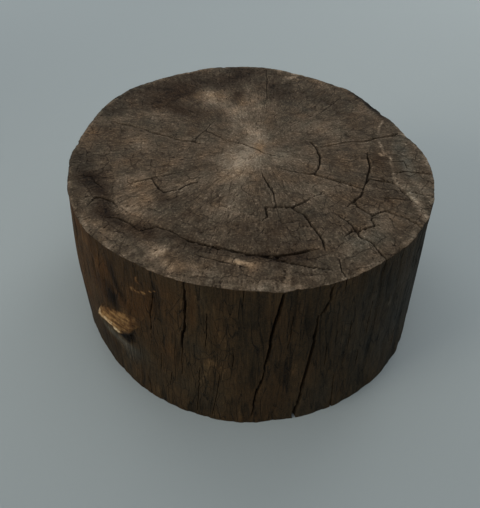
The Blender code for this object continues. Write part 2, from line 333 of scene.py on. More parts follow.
# Soft square lights: name, side, spread in degrees, power in watts, colour, place and what they
# point at
STUDIO_LIGHTS = (
    ("overhead", 2.4, 180, 12.0, (1.0, 0.96, 0.9), (0.1, 0.2, 2.2), (0.1, 0.1, 0)),
    ("front_left", 0.9, 45, 0.8, (1.0, 0.9, 0.75), (-1.3, -0.6, 0.9), (0, 0, 0.1)),
    ("back_right", 1.0, 180, 9.0, (1.0, 0.97, 0.93), (1.2, 1.7, 1.0), (0.3, 0.7, 0)),
    ("back_left", 1.0, 180, 5.5, (1.0, 0.97, 0.93), (-1.2, 1.7, 1.0), (-0.3, 0.7, 0)),
)

# Sawn end grain, from its blackest stains to its palest wood, as sRGB
TOP_BLACK = "160f09"
TOP_DARK = "33291f"
TOP_GREY = "52483c"
TOP_PALE = "7c6f60"
TOP_BEIGE = "b6a896"
# Wall wood, from its cracks to its raised fibres
WALL_BLACK = "0f0b07"
WALL_DARK = "2f2619"
WALL_BROWN = "4f3e29"
WALL_PALE = "8a704e"
# Raw wood of the torn stub, from its splits to its lip, whose palest colour is partly a painted highlight
RAW_DARK = "2b1a0d"
RAW_BROWN = "66492b"
RAW_GOLD = "a38053"
RAW_PALE = "f2ddb6"
# Tints from damp grey-green to dry orange, which multiply a colour. The grey-green also paints a
# cool sky reflection on parts of the wall.
COOL_TINT = "cde2de"
PLAIN_TINT = "f4f2ee"
WARM_TINT = "ffdeb4"
# Painted shade, for the insides of the checks and the stub's hollow
CHECK_SHADE = "160f0a"
WOOD_IOR = 1.5
WOOD_SHEEN = 0.15


def linear(colour):
    """An sRGB hex value as linear red, green and blue."""
    shares = (int(colour[i : i + 2], 16) / 255 for i in (0, 2, 4))
    return tuple(s / 12.92 if s <= 0.04045 else ((s + 0.055) / 1.055) ** 2.4 for s in shares)


def smooth(low, high, value):
    """The smoothstep curve: 0 below low, 1 above high, and 3t^2 - 2t^3 between."""
    t = np.clip((value - low) / (high - low), 0, 1)
    return t * t * (3 - 2 * t)


def cell_value(cell, seed):
    """A repeatable number from 0 to 1 for each whole-numbered cell: the fraction of a large sine."""
    mixed = np.sin(cell @ np.array([12.9898, 78.233, 37.719]) + seed * 4.1414) * 43758.5453
    return mixed - np.floor(mixed)


def ripple(points, size, seed):
    """Smooth noise from -1 to 1 with bumps of the given size: random values at the corners of a grid
    of cubes, blended across each cube by the smoothstep curve."""
    scaled = points / size
    corner = np.floor(scaled)
    t = smooth(0, 1, scaled - corner)
    total = np.zeros(len(points))
    for step in np.ndindex(2, 2, 2):
        share = np.prod(np.where(step, t, 1 - t), axis=1)
        total += share * cell_value(corner + step, seed)
    return 2 * total - 1


def layered(points, size, seed, layers=3):
    """Ripples of halving size and halving height, added up."""
    total = sum(ripple(points, size / 2**k, seed + k) / 2**k for k in range(layers))
    return total / (2 - 2 ** (1 - layers))


def around(radii, bearing):
    """A smooth closed curve (Catmull-Rom) through radii at even steps of bearing."""
    radii = np.array(radii) * MM
    place = (bearing % 360) * len(radii) / 360
    whole = np.floor(place).astype(int)
    t = place - whole
    before, start, end, after = (radii[(whole + step) % len(radii)] for step in (-1, 0, 1, 2))
    bend = 2 * before - 5 * start + 4 * end - after
    twist = 3 * (start - end) + after - before
    return start + 0.5 * t * (end - before + t * (bend + t * twist))


def turned_from(bearing, middle):
    """The shortest turn from one bearing to another, in degrees."""
    return (bearing - middle + 180) % 360 - 180


def outline(bearing, depth):
    """The trunk's plain radius: from the rim's outline to the wider base's, with the belly's swelling."""
    flare = 0.55 * depth + 0.45 * depth**2
    radius = around(RIM_RADII, bearing) * (1 - flare) + around(BASE_RADII, bearing) * flare
    off_belly = turned_from(bearing, BELLY_BEARING) / BELLY_HALF_ANGLE
    return radius + BELLY_RISE * np.sin(np.pi * depth) * np.exp(-(off_belly**2))


def in_space(bearing, radius, height):
    """Points from their bearing, radius and height: x is r cos b and y is r sin b."""
    angle = np.radians(bearing)
    return np.stack([radius * np.cos(angle), radius * np.sin(angle), height + 0 * angle], axis=-1)


def on_top_plane(bearing, share):
    """Places on the sawn top, seen from above, at a share of its mean radius."""
    return in_space(bearing, share * TOP_RADIUS, 0)[..., :2]


def on_wall_plane(bearing, depth):
    """The wall unrolled: the length around it from the front, and the drop below the rim."""
    return np.stack([np.radians(turned_from(bearing, 270)) * WALL_RADIUS, depth * HEIGHT], axis=-1)


def check_runs(checks, to_plane, past_edge):
    """Every straight run of every check: its two ends in the plane, its width at each and its depth.
    A check narrows where it dies out, and keeps its width where it runs past an edge."""
    runs = []
    for width, depth, places in checks:
        bearings, shares = np.array(places, float).T
        ends = to_plane(bearings, shares)
        widths = np.full(len(places), width * MM)
        for end in (0, -1):
            widths[end] *= 1 if past_edge(shares[end]) else CHECK_END
        runs += [
            (ends[i], ends[i + 1], widths[i], widths[i + 1], depth * MM) for i in range(len(places) - 1)
        ]
    return runs


def waver(points, seed):
    """Shifts points in the plane by up to 1.2 mm each way, so that a check's straight runs look torn."""
    spots = np.column_stack([points, np.zeros(len(points))])
    shift = [layered(spots, 11 * MM, seed + 9 * axis, 2) for axis in (0, 1)]
    return points + 1.2 * MM * np.stack(shift, axis=-1)


def nearest_check(points, runs, seed):
    """For each point: its distance to the nearest run, the step there, and the run's width and depth."""
    wavered = waver(points, seed)
    distance = np.full(len(points), 1.0)
    step = np.zeros((len(points), 2))
    width = np.full(len(points), MM)
    depth = np.zeros(len(points))
    for start, end, start_width, end_width, run_depth in runs:
        run = end - start
        along = np.clip((wavered - start) @ run / (run @ run), 0, 1)
        to_run = start + along[:, None] * run - wavered
        gap = np.hypot(to_run[:, 0], to_run[:, 1])
        nearer = gap < distance
        distance = np.where(nearer, gap, distance)
        step[nearer] = to_run[nearer]
        width = np.where(nearer, start_width + along * (end_width - start_width), width)
        depth = np.where(nearer, run_depth, depth)
    return distance, step, width, depth


def draw_closer(points, runs, reach, seed, share=1.0):
    """Moves points towards the nearest run, so that its lips are sharp: a distance d within reach
    becomes d times a factor that grows smoothly from CLOSEST at the run to 1 at the reach."""
    distance, step, _, _ = nearest_check(points, runs, seed)
    factor = CLOSEST + (1 - CLOSEST) * smooth(0, 1, distance / reach)
    return points + step * ((1 - factor) * share)[:, None]


def opened(points, runs, seed):
    """How deep a check is at each point, how much of its dark mouth is there, and how much painted
    highlight lies along its edges. The mouth is full within 0.3 of the width from the middle line and
    ends at 0.65 of it; the materials make it darker as painted shade. The highlight runs from there to
    two and a half widths. A check under 2 mm wide is less deep."""
    distance, _, width, depth = nearest_check(points, runs, seed)
    mouth = 1 - smooth(0.3 * width, 0.65 * width, distance)
    check_edge_highlight = smooth(0.5 * width, 1.1 * width, distance) * (1 - smooth(1.2 * width, 2.6 * width, distance))
    narrow = np.clip(width / (2 * MM), 0.4, 1)
    return depth * mouth * narrow, mouth, check_edge_highlight


def ovals(points, patches):
    """Soft oval patches added up, each the bell curve of the distance in its own turned and stretched
    axes. A patch is its place (x, y), half length, half width, turn, and then the heights that it
    adds. Returns one array for each of those heights."""
    total = np.zeros((len(patches[0]) - 5, len(points)))
    for x, y, long, wide, turn, *heights in patches:
        off = points - np.array((x, y)) * MM
        angle = math.radians(turn)
        along = (off[:, 0] * math.cos(angle) + off[:, 1] * math.sin(angle)) / (long * MM)
        across = (off[:, 1] * math.cos(angle) - off[:, 0] * math.sin(angle)) / (wide * MM)
        total += np.outer(heights, np.exp(-(along**2 + across**2) / 1.3))
    return total


def unrolled(patches, *heights):
    """Patches placed by bearing and depth share, with their places on the unrolled wall instead, and
    any more heights that they add."""
    return [
        (*(on_wall_plane(np.float64(bearing), depth) / MM), *rest, *heights)
        for bearing, depth, *rest in patches
    ]


def shade(points, patches, seed):
    """How pale and how warm each point in the plane is: oval patches with edges frayed by noise."""
    spots = np.column_stack([points, np.zeros(len(points))])
    fray = np.stack([layered(spots, 26 * MM, seed), layered(spots, 26 * MM, seed + 5)], axis=-1)
    return ovals(points + 9 * MM * fray, patches)


def disc_grid(cells):
    """A square grid drawn onto a disc: each square ring becomes a circle of the same share of the
    radius, and the run along its sides becomes the bearing. Returns bearing and share."""
    line = np.linspace(-1, 1, cells + 1)
    u, v = (grid.ravel() for grid in np.meshgrid(line, line, indexing="ij"))
    wide = np.abs(u) >= np.abs(v)
    share = np.where(wide, np.abs(u), np.abs(v))
    along = np.where(wide, v, u) / np.where(share == 0, 1, np.where(wide, u, v))
    bearing = np.where(wide, 45 * along + 180 * (u < 0), 90 - 45 * along + 180 * (v < 0))
    return bearing, share


def disc_rim(cells):
    """The grid's outer points in order of bearing, from -45 degrees."""
    up, full, none = np.arange(cells), np.full(cells, cells), np.zeros(cells, int)
    i = np.concatenate([full, cells - up, none, up])
    j = np.concatenate([up, full, cells - up, none])
    return i * (cells + 1) + j


def stub_shape(bearing, depth):
    """The stub's height above the wall, how raw its torn wood is, and how deep in its hollow a point
    is. Along the lip the rawness is raised, a painted highlight that makes the wood paler there. The
    height climbs evenly from the crest to the lip. Below the lip it drops steeply by half and runs out
    as a shallow facet."""
    along = np.radians(turned_from(bearing, STUB_BEARING)) * WALL_RADIUS / MM
    up = (STUB_DEPTH - depth) * HEIGHT / MM
    strands = np.stack([0.15 * along, up, 0 * up], axis=-1)
    frayed = up + 1.4 * layered(strands, 7, 71, 2)
    lip = np.interp(along, *np.transpose(STUB_LIP))
    crest = np.interp(along, *np.transpose(STUB_CREST))
    # Full from 28 mm left of its middle to 8 mm right of it, and dying out on both sides
    thick = smooth(-46, -28, along) * (1 - smooth(8, 41, along))
    climb = np.clip((crest - frayed) / np.maximum(crest - lip, 1), 0, 1)
    below = lip - frayed
    drop = 0.5 * (1 - smooth(0, 5, below)) + 0.5 * (1 - smooth(2, 26, below))
    within = smooth(-43, -39, along) * (1 - smooth(34, 42, along))
    torn = within * (1 - smooth(crest - 4, crest + 1, frayed)) * smooth(-1.5, 0.5, -below)
    off = np.hypot(along - STUB_HOLLOW[0], up - STUB_HOLLOW[1]) / HOLLOW_RADIUS
    hollow = np.exp(-(off**2))
    splinters = layered(strands, 2.4, 73, 2)
    height = STUB_RISE * thick * np.where(below > 0, drop, climb)
    height += 1.3 * torn * splinters - HOLLOW_DEPTH * hollow
    # Painted highlight: the wood along the lip is made rawer, and so paler, where it would catch the light
    stub_lip_highlight = np.exp(-((below / 3.5) ** 2)) * (1 - smooth(4, 18, along))
    raw = torn * (0.45 + 0.55 * stub_lip_highlight) * (1 - 0.6 * smooth(12, 40, along)) * (1 - hollow)
    return height * MM, raw, hollow


def wall_surface(bearing, height, sizes):
    """The wall at each bearing and height: the plain outline, with long flutes, plates that have
    flaked, fibres, the branch stub, torn chips and the open checks. Returns its points and its four
    shades."""
    depth = 1 - height / HEIGHT
    radius = outline(bearing, depth)
    points = in_space(bearing, radius, height)
    upright = points * (1, 1, 0.16)
    fibrous = points * (1, 1, 0.05)
    flute = layered(upright, 34 * MM, 21, 2)
    plate = smooth(-0.02, 0.10, layered(points * (1, 1, 0.42), 30 * MM, 31))
    fibre = 0.6 * ripple(fibrous, 6.5 * MM, 41) + 0.4 * ripple(fibrous, 3.6 * MM, 42)
    splits = smooth(0.35, 0.62, ripple(points * (1, 1, 0.09), 8 * MM, 51))
    plane = on_wall_plane(bearing, depth)
    check_depth, check, check_edge_highlight = opened(plane, WALL_RUNS, WALL_CHECK_SEED)
    stub, torn, hollow = stub_shape(bearing, depth)
    chips = ovals(plane, WALL_CHIP_PATCHES)[0] * smooth(-0.6, 0.3, ripple(points, 4 * MM, 72))
    torn = np.maximum(torn, np.clip(chips, 0, 0.55))
    calm = (1 - np.clip(torn + hollow, 0, 1)) * (1 - 0.5 * depth)
    relief = 1.1 * flute + calm * (1.0 * (plate - 0.5) + 0.7 * fibre - 1.3 * splits)
    radius = radius + sizes.relief * MM * relief + stub - check_depth
    pale, warm = shade(plane, WALL_SHADE_PATCHES, 81)
    # The pale along the edges of the checks is a painted highlight
    pale = pale + 0.25 * (plate - 0.5) + 0.18 * fibre - 0.5 * splits + 0.25 * check_edge_highlight
    warm = warm + 0.3 * ripple(points, 45 * MM, 91)
    # The check shade also covers the stub's hollow, so the hollow is painted dark as shadow
    return in_space(bearing, radius, height), pale, warm, np.maximum(check, hollow), torn


def top_surface(plane, share):
    """The sawn top over each point of the plane: shallow dishing, pitting, a worn edge with its rotted
    stretch, the flake's edge and the open checks. Returns its height and its three shades."""
    spots = np.column_stack([plane, np.zeros(len(plane))])
    check_depth, check, check_edge_highlight = opened(plane, TOP_RUNS, TOP_CHECK_SEED)
    uneven = layered(spots, 42 * MM, 101) - 1
    pitted = smooth(0.25, 0.8, ripple(spots, 5 * MM, 111))
    worn = smooth(0.975, 1.0, share + 0.008 * ripple(spots, 12 * MM, 121))
    pale, warm = shade(plane, TOP_SHADES, 82)
    flake = 1 - smooth(0.4, 1.5, nearest_check(plane, FLAKE_RUNS, 64)[0] / (FLAKE_HALF_WIDTH * MM))
    flake = flake * smooth(-0.8, 0.0, ripple(spots, 9 * MM, 161))
    sunk = np.clip(-pale, 0, 1)
    height = HEIGHT - check_depth + (0.5 * uneven - 0.5 * pitted - 0.9 * worn - 0.6 * sunk) * MM
    bearing = np.degrees(np.arctan2(plane[:, 1], plane[:, 0]))
    broken = np.exp(-((turned_from(bearing, BREAK_BEARING) / BREAK_HALF_ANGLE) ** 4))
    height += 0.5 * MM * flake - BREAK_DROP * broken * smooth(0.965, 1.0, share)
    frayed_edge = smooth(0.966, 0.985, share) * smooth(-0.3, 0.5, ripple(spots, 10 * MM, 151))
    pale = pale + 0.1 * layered(spots, 20 * MM, 131) - 0.25 * pitted
    # The pale along the edges of the checks is a painted highlight
    pale += 0.3 * check_edge_highlight + 0.45 * frayed_edge + 0.85 * flake
    return height, pale, warm + 0.2 * ripple(spots, 40 * MM, 141), check


TOP_RUNS = check_runs(TOP_CHECKS, on_top_plane, lambda share: share > 1.05)
FLAKE_RUNS = check_runs([(FLAKE_HALF_WIDTH, 0, FLAKE_EDGE)], on_top_plane, lambda share: True)
WALL_RUNS = check_runs(WALL_CHECKS, on_wall_plane, lambda depth: depth > 1)
LIP_POINTS = on_wall_plane(np.float64(STUB_BEARING), STUB_DEPTH) + np.array(STUB_LIP) * (MM, -MM)
LIP_RUNS = [(start, end, MM, MM, 0) for start, end in zip(LIP_POINTS, LIP_POINTS[1:])]
WALL_SHADE_PATCHES = unrolled(WALL_SHADES)
WALL_CHIP_PATCHES = unrolled(WALL_CHIPS, CHIP_RAWNESS)


def flat_map(points, place):
    """Maps points straight down onto a square of the map: its middle, and lengths of it to a metre."""
    middle, scale = place
    return np.array(middle) + points[..., :2] * scale


def wall_map(down, columns):
    """Unrolls the wall as two strips, one half of the way around on each. The map is closer across
    the fibres than along them, because the wood changes fastest that way."""
    half = columns // 2
    column = np.arange(columns)
    left = MAP_GAP + (1 - 2 * MAP_GAP) * (column % half) / half
    right = left + (1 - 2 * MAP_GAP) / half
    strip_top = np.where(column < half, 2 * (STRIP_HEIGHT + MAP_GAP), STRIP_HEIGHT + MAP_GAP)
    upper = strip_top - STRIP_HEIGHT * down[:-1, None]
    lower = strip_top - STRIP_HEIGHT * down[1:, None]
    across = [np.broadcast_to(side, upper.shape) for side in (left, left, right, right)]
    return np.stack([np.stack(across, axis=-1), np.stack([upper, lower, lower, upper], axis=-1)], axis=-1)


def drawn_rim(even, sizes):
    plane = on_wall_plane(even, 0 * even)
    drawn = draw_closer(plane, WALL_RUNS, sizes.reach, WALL_CHECK_SEED)
    turn = np.degrees((drawn - plane)[:, 0] / WALL_RADIUS)
    points, _, _, check, _ = wall_surface(even + turn, np.full(len(even), HEIGHT), sizes)
    return turn, np.hypot(points[:, 0], points[:, 1]), check


def sawn_top(even, turn, radius, rim_check, sizes):
    """The sawn top as a grid on a disc. Near the rim it follows the wall's first row, and further in it
    is drawn to its checks. Returns its points and its four shades."""
    bearing, share = disc_grid(sizes.top_cells)
    edge = smooth(1 - 1.5 * sizes.reach / TOP_RADIUS, 1, share)
    place = (bearing + 45) % 360 - 45
    looped = np.append(even, even[0] + 360)
    turned, notched = (np.interp(place, looped, np.append(row, row[0])) for row in (turn, radius))
    plain = outline(bearing, 0)
    plane = in_space(bearing + edge * turned, share * (plain + edge * (notched - plain)), 0)[:, :2]
    plane = draw_closer(plane, TOP_RUNS, sizes.reach, TOP_CHECK_SEED, 1 - edge)
    height, pale, warm, check = top_surface(plane, share)
    height[disc_rim(sizes.top_cells)] -= RIM_NOTCH * rim_check
    return np.column_stack([plane, height]), np.column_stack([pale, warm, check, 0 * pale])


def trunk_wall(even, turn, rim_height, down, sizes):
    """The wall's rows, from the rim's own height down to the ground. Returns its points, its four shades
    and the bearings of its last row."""
    off_twist = np.abs(turned_from(even, TWIST_BEARING)) / TWIST_HALF_ANGLE
    twist = np.outer(down, TWIST * (1 - smooth(0.15, 1, off_twist)))
    # The rim's own turn fades out just below it
    bearing = (even + turn * (1 - down[:, None]) ** 8 - twist).ravel()
    height = np.outer(1 - down, rim_height).ravel()
    plane = on_wall_plane(bearing, 1 - height / HEIGHT)
    drawn = draw_closer(plane, WALL_RUNS, sizes.reach, WALL_CHECK_SEED)
    to_lip = draw_closer(drawn, LIP_RUNS, 2 * sizes.reach, 63) - drawn
    bearing = bearing + np.degrees((drawn - plane + to_lip)[:, 0] / WALL_RADIUS)
    points, pale, warm, check, torn = wall_surface(bearing, height - to_lip[:, 1], sizes)
    points[-len(even) :, 2] = 0
    return points, np.column_stack([pale, warm, check, torn]), bearing[-len(even) :]


def outward_faces(cells, rim, point_count):
    """The faces of the top's grid, those of the rows from the rim to the underside's last ring, and
    those round the underside's middle, all turned outwards."""
    index = np.arange((cells + 1) ** 2).reshape(cells + 1, cells + 1)
    corners = (index[:-1, :-1], index[1:, :-1], index[1:, 1:], index[:-1, 1:])
    top_faces = np.stack([corner.ravel() for corner in corners], axis=-1)
    below = np.arange(index.size, point_count - 1).reshape(-1, len(rim))
    levels = np.vstack([rim, below])
    following = np.roll(levels, -1, axis=1)
    corners = (levels[:-1], levels[1:], following[1:], following[:-1])
    side_faces = np.stack([corner.ravel() for corner in corners], axis=-1)
    middle = np.full(len(rim), point_count - 1)
    return top_faces, side_faces, np.stack([levels[-1], middle, following[-1]], axis=-1)


def stump_shape(sizes):
    """The whole closed surface. The sawn top's outer points are the wall's first row, and the wall's
    last row, on the ground, is the underside's first. Returns the points, three groups of faces, the
    number of wall faces, the four shades, and the map of each face corner."""
    rim = disc_rim(sizes.top_cells)
    columns = len(rim)
    even = -45 + 360 * np.arange(columns) / columns
    down = np.linspace(0, 1, sizes.wall_rows + 1)[1:] ** ROW_CROWDING
    turn, radius, rim_check = drawn_rim(even, sizes)
    top, top_shades = sawn_top(even, turn, radius, rim_check, sizes)
    wall, wall_shades, ground = trunk_wall(even, turn, top[rim, 2], down, sizes)
    ring_radii = np.outer(UNDERSIDE_RINGS, outline(ground, 1))
    rings = in_space(np.tile(ground, len(UNDERSIDE_RINGS)), ring_radii.ravel(), 0)
    points = np.vstack([top, wall, rings, [(0, 0, 0)]])
    shades = np.vstack([top_shades, wall_shades, np.zeros((len(rings) + 1, 4))])
    faces = outward_faces(sizes.top_cells, rim, len(points))
    wall_count = sizes.wall_rows * columns
    maps = (
        flat_map(points[faces[0]], TOP_MAP),
        wall_map(np.append(0, down), columns),
        flat_map(points[faces[1][wall_count:]], BASE_MAP),
        flat_map(points[faces[2]], BASE_MAP),
    )
    return points, faces, wall_count, shades, np.concatenate([corners.reshape(-1, 2) for corners in maps])


def new_mesh(name, points, face_groups):
    """A mesh from arrays of points and of faces with any number of corners."""
    mesh = bpy.data.meshes.new(name)
    counts = np.concatenate([np.full(len(group), group.shape[1]) for group in face_groups])
    corners = np.concatenate([group.ravel() for group in face_groups])
    mesh.vertices.add(len(points))
    mesh.vertices.foreach_set("co", points.ravel())
    mesh.loops.add(len(corners))
    mesh.loops.foreach_set("vertex_index", corners)
    mesh.polygons.add(len(counts))
    mesh.polygons.foreach_set("loop_start", np.concatenate([[0], np.cumsum(counts)[:-1]]))
    mesh.update(calc_edges=True)
    mesh.validate()
    return mesh


def add_map(mesh, maps):
    """The map of each face corner, named OFBake, that the finished colours can be baked onto."""
    layer = mesh.uv_layers.new(name="OFBake")
    layer.data.foreach_set("uv", np.ascontiguousarray(maps.ravel(), np.float32))


def add_shades(mesh, shades):
    """Four numbers on each point: how pale, how warm, how far inside a check, and how torn. The
    materials make the checks and the stub's hollow darker from the third, as painted shade, and the
    others carry some painted light: highlights along the checks' edges and the stub's lip, and a cool
    sky reflection and warm light on the wall.
    """
    for name, values in zip(("pale", "warm", "check", "torn"), shades.T):
        attribute = mesh.attributes.new(name, "FLOAT", "POINT")
        attribute.data.foreach_set("value", np.ascontiguousarray(values, np.float32))


def add_node(tree, kind, inputs=(), output=0, stops=(), **settings):
    """Adds a node with its settings, and fills each of its inputs with a value, an sRGB hex or another
    node's output. A ramp's stops are (position, colour). Returns one of the node's outputs."""
    node = tree.nodes.new("ShaderNode" + kind)
    for name, value in settings.items():
        setattr(node, name, value)
    for name, value in dict(inputs).items():
        if isinstance(value, bpy.types.NodeSocket):
            tree.links.new(value, node.inputs[name])
        elif isinstance(value, str):
            node.inputs[name].default_value = (*linear(value), 1)
        else:
            node.inputs[name].default_value = value
    for place, (position, colour) in enumerate(stops):
        elements = node.color_ramp.elements
        element = elements[place] if place < 2 else elements.new(position)
        element.position = position
        element.color = (*(linear(colour) if isinstance(colour, str) else colour), 1)
    return node.outputs[output] if len(node.outputs) else None


def new_material(name):
    """An empty material, and add_node bound to its node tree."""
    material = bpy.data.materials.new(name)
    material.use_nodes = True
    material.node_tree.nodes.clear()
    return material, partial(add_node, material.node_tree)


def sum_of(node, *terms):
    """A weighted sum: each term is an output and its weight, or a plain number."""
    total = None
    for term in terms:
        value = node("Math", dict(enumerate(term)), operation="MULTIPLY") if isinstance(term, tuple) else term
        total = value if total is None else node("Math", {0: total, 1: value}, operation="ADD")
    return total


def where(node, *conditions):
    """Where every condition holds: each is an output and the values between which a smoothstep
    curve takes it from 0 to 1, and the curves are multiplied."""
    total = None
    for value, low, high in conditions:
        held = node(
            "MapRange", {"Value": value, "From Min": low, "From Max": high}, interpolation_type="SMOOTHSTEP"
        )
        total = held if total is None else node("Math", {0: total, 1: held}, operation="MULTIPLY")
    return total


def fanned(node, outward, distance, angle, length):
    """Coordinates that fan out from the pith: a unit of them is an angle in degrees around it and a
    length outwards."""
    turns = math.degrees(1) / angle
    around_pith = node("VectorMath", {0: outward, 1: (turns, turns, 0)}, operation="MULTIPLY")
    from_pith = node("CombineXYZ", {"Z": node("Math", {0: distance, 1: length}, operation="DIVIDE")})
    return node("VectorMath", {0: around_pith, 1: from_pith}, operation="ADD")


def hued(node, colour, place, size):
    """A colour multiplied by a tint, from damp grey-green to dry orange, and greyed where it is cool.
    The tint drifts over patches of the given size, and follows the warm shade, which also carries
    painted light on the wall: a cool sky reflection and warm light."""
    drift = node("TexNoise", {"Vector": place, "Scale": 1 / size})
    warm = node("Attribute", output="Fac", attribute_name="warm")
    warmth = sum_of(node, (drift, 0.6), (warm, 0.35), 0.2)
    tint = node("ValToRGB", {"Fac": warmth}, stops=((0.0, COOL_TINT), (0.5, PLAIN_TINT), (1.0, WARM_TINT)))
    tinted = node("Mix", {0: 1.0, 6: colour, 7: tint}, 2, data_type="RGBA", blend_type="MULTIPLY")
    saturation = sum_of(node, (where(node, (warmth, -0.3, 0.5)), 0.75), 0.25)
    return node("HueSaturation", {"Color": tinted, "Saturation": saturation})


def with_painted_shade(node, colour, amount):
    """Painted shade: a colour made darker inside the checks, by a share of how far inside one it is."""
    check = node("Attribute", output="Fac", attribute_name="check")
    share = node("Math", {0: check, 1: amount}, operation="MULTIPLY")
    return node("Mix", {0: share, 6: colour, 7: CHECK_SHADE}, 2, data_type="RGBA")


def finish_wood(node, colour, relief, height, roughness):
    """Bare wood: no clear coat, a dull sheen, and relief pushed up by a height in millimetres."""
    normal = node("Bump", {"Height": relief, "Distance": height * MM, "Strength": 1.0})
    dull = {"IOR": WOOD_IOR, "Specular IOR Level": WOOD_SHEEN}
    wood = node("BsdfPrincipled", {"Base Color": colour, "Roughness": roughness, "Normal": normal, **dull})
    node("OutputMaterial", {"Surface": wood})


def end_grain(grey):
    """Sawn end grain, weathered for years: cut across the fibres by a saw, then dried, rained on and
    stained. It is dull and porous, pale round the pith, with fine rays running out from it. Its checks
    are made darker inside with painted shade, and their edges paler with a painted highlight."""
    material, node = new_material("weathered_sawn_end_grain")
    coordinates = node("TexCoord", output="Object")
    pale = node("Attribute", output="Fac", attribute_name="pale")
    from_pith = node("VectorMath", {0: coordinates, 1: (*PITH, 0)}, operation="SUBTRACT")
    flat = node("VectorMath", {0: from_pith, 1: (1, 1, 0)}, operation="MULTIPLY")
    outward = node("VectorMath", {0: flat}, operation="NORMALIZE")
    distance = node("VectorMath", {0: flat}, "Value", operation="LENGTH")
    # Rays are 1 to 3 mm wide, and bundles of them 10 mm or so. The splits along them are shorter.
    mottle, speckle, flecks, rays, bundles, splits = (
        node("TexNoise", {"Vector": place, "Scale": 1 / size, "Detail": detail, "Roughness": rough})
        for place, size, detail, rough in (
            (coordinates, 11 * MM, 4, 0.6),
            (coordinates, 2.4 * MM, 2, 0.7),
            (coordinates, 3.4 * MM, 1, 0.5),
            (fanned(node, outward, distance, 1.0, 13 * MM), 1, 2, 0.6),
            (fanned(node, outward, distance, 4.5, 50 * MM), 1, 2, 0.5),
            (fanned(node, outward, distance, 0.8, 5 * MM), 1, 1, 0.5),
        )
    )
    flecks = where(node, (flecks, 0.6, 0.7))
    dashes = where(node, (splits, 0.6, 0.7), (mottle, 0.46, 0.58))
    # Hairline checks between the rays and the years, 25 mm or so apart, that wander a little
    drift = node("TexNoise", {"Vector": coordinates, "Scale": 1 / (14 * MM)}, "Color")
    wander = node("VectorMath", {0: drift, 1: (0.5, 0.5, 0.5)}, operation="MULTIPLY")
    blocks = fanned(node, outward, distance, 11, 24 * MM)
    blocks = node("VectorMath", {0: blocks, 1: wander}, operation="ADD")
    edge = node("TexVoronoi", {"Vector": blocks, "Scale": 1.0}, feature="DISTANCE_TO_EDGE")
    block_tone = node("TexVoronoi", {"Vector": blocks, "Scale": 1.0}, "Color")
    hairlines = where(node, (edge, 0.035, 0.0), (bundles, 0.4, 0.52))
    tone = sum_of(
        node, (pale, 0.37), (mottle, 0.42), (speckle, 0.62), (rays, 0.4), (bundles, 0.2), (flecks, 0.14),
        (block_tone, 0.08), (dashes, -0.3), (hairlines, -0.17), (distance, -0.55), -0.28
    )
    stops = ((0.0, TOP_BLACK), (0.22, TOP_DARK), (0.48, grey), (0.72, TOP_PALE), (1.0, TOP_BEIGE))
    colour = node("ValToRGB", {"Fac": tone}, stops=stops)
    # Painted shade makes the insides of the checks darker
    colour = with_painted_shade(node, hued(node, colour, coordinates, 22 * MM), 0.78)
    relief = sum_of(node, (speckle, 0.6), (mottle, 0.12), (rays, 0.5), (dashes, -0.4), (hairlines, -0.4))
    finish_wood(node, colour, relief, 2.0, sum_of(node, (speckle, 0.2), 0.75))
    return material


